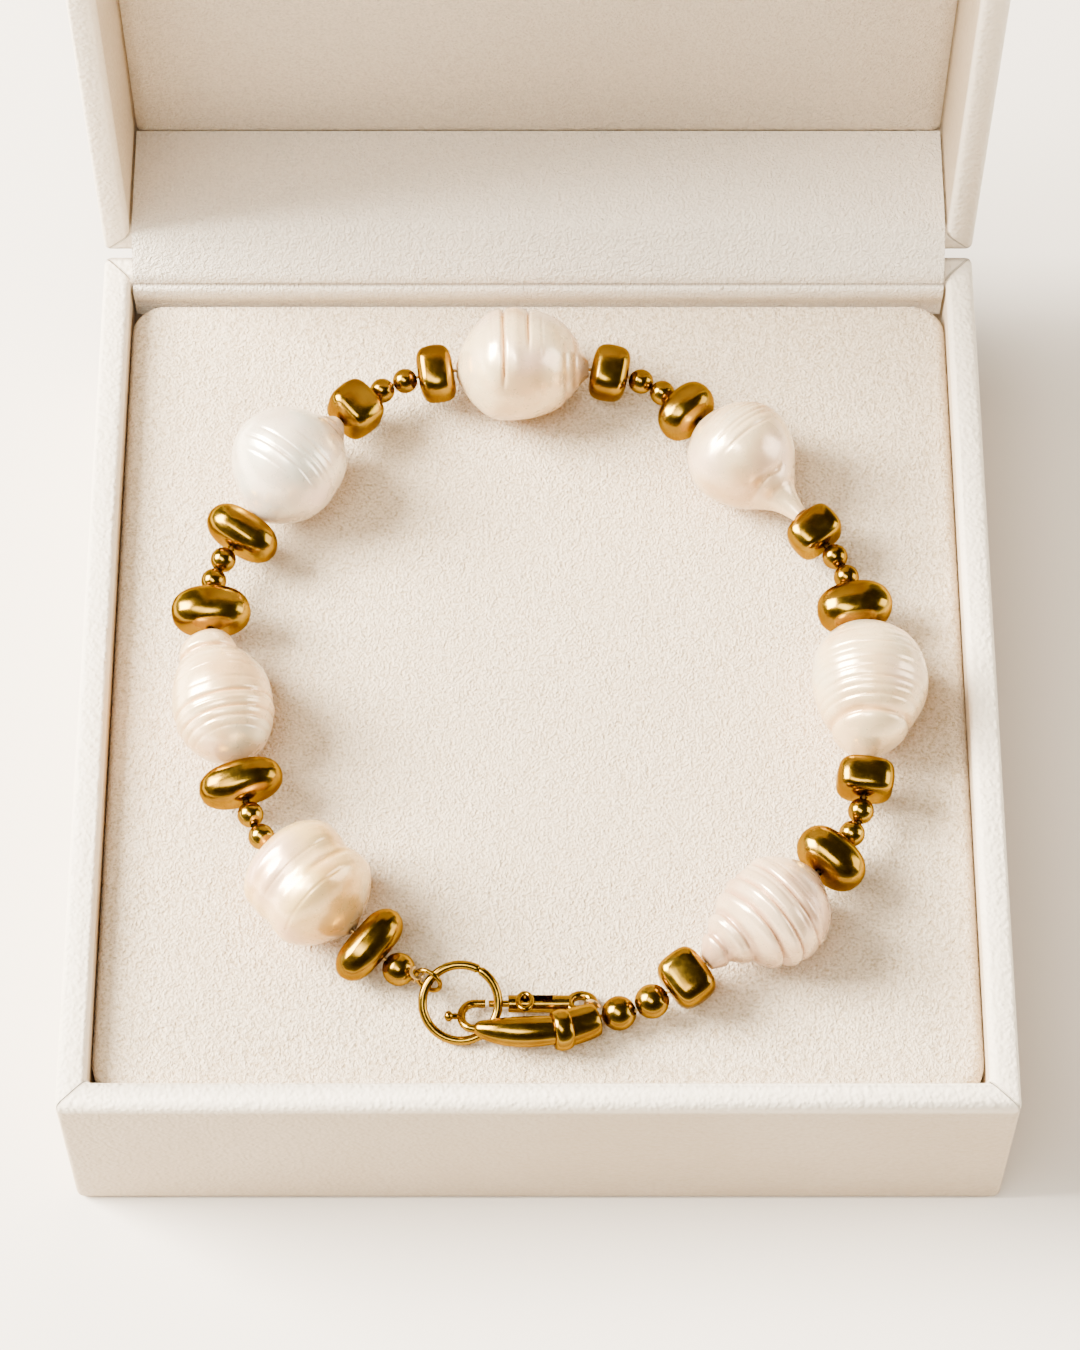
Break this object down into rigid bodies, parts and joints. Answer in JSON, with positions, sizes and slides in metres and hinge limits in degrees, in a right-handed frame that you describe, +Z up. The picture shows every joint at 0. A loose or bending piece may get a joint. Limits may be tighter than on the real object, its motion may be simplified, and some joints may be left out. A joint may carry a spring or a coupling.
{
  "type": "pearl and gold bead bracelet in its hinged presentation box",
  "caption": "Bracelet of baroque pearls and antique gold beads with jump rings and a bolt clasp, lying as a loop on the suede pad of its own hinged presentation box.",
  "frame": {"origin": "centre of the box's underside", "axes": "+X to the right, +Y back towards the lid's hinge, +Z up"},
  "size_m": [0.09, 0.1113, 0.1182],
  "materials": {
    "polished_gold": "polished antique gold plate",
    "pearl": "lustrous nacre",
    "wire": "gold-toned beading wire",
    "leatherette": "fine-grained ivory leatherette",
    "suede": "ivory suede with a short nap"
  },
  "bodies": {
    "case": {"case_base": "leatherette", "case_pad": "suede", "clasp_body": "polished_gold", "hinge_strip": "suede", "large_jump_ring": "polished_gold", "large_round_1": "polished_gold", "large_round_2": "polished_gold", "large_round_3": "polished_gold", "nugget_01": "polished_gold", "nugget_02": "polished_gold", "nugget_03": "polished_gold", "nugget_04": "polished_gold", "nugget_05": "polished_gold", "nugget_06": "polished_gold", "nugget_07": "polished_gold", "nugget_08": "polished_gold", "nugget_09": "polished_gold", "nugget_10": "polished_gold", "nugget_11": "polished_gold", "nugget_12": "polished_gold", "nugget_13": "polished_gold", "pearl_1": "pearl", "pearl_2": "pearl", "pearl_3": "pearl", "pearl_4": "pearl", "pearl_5": "pearl", "pearl_6": "pearl", "pearl_7": "pearl", "small_jump_ring": "polished_gold", "small_round_01": "polished_gold", "small_round_02": "polished_gold", "small_round_03": "polished_gold", "small_round_04": "polished_gold", "small_round_05": "polished_gold", "small_round_06": "polished_gold", "small_round_07": "polished_gold", "small_round_08": "polished_gold", "small_round_09": "polished_gold", "small_round_10": "polished_gold", "small_round_11": "polished_gold", "small_round_12": "polished_gold", "stringing_wire": "wire"},
    "lid": {"lid_shell": "leatherette", "lid_panel": "suede", "lid_hinge_strip": "suede"},
    "clasp_bolt": {"clasp_bolt": "polished_gold"}
  },
  "joints": [
    {"name": "lid_hinge", "type": "hinge", "parent": "case", "child": "lid", "pos_m": [0, 0.04775, 0.02275], "axis": [1, 0, 0], "range_deg": [0, 90]},
    {"name": "clasp_bolt_slide", "type": "slide", "parent": "case", "child": "clasp_bolt", "axis": [1, 0, 0], "range_m": [0, 0.0019]}
  ]
}
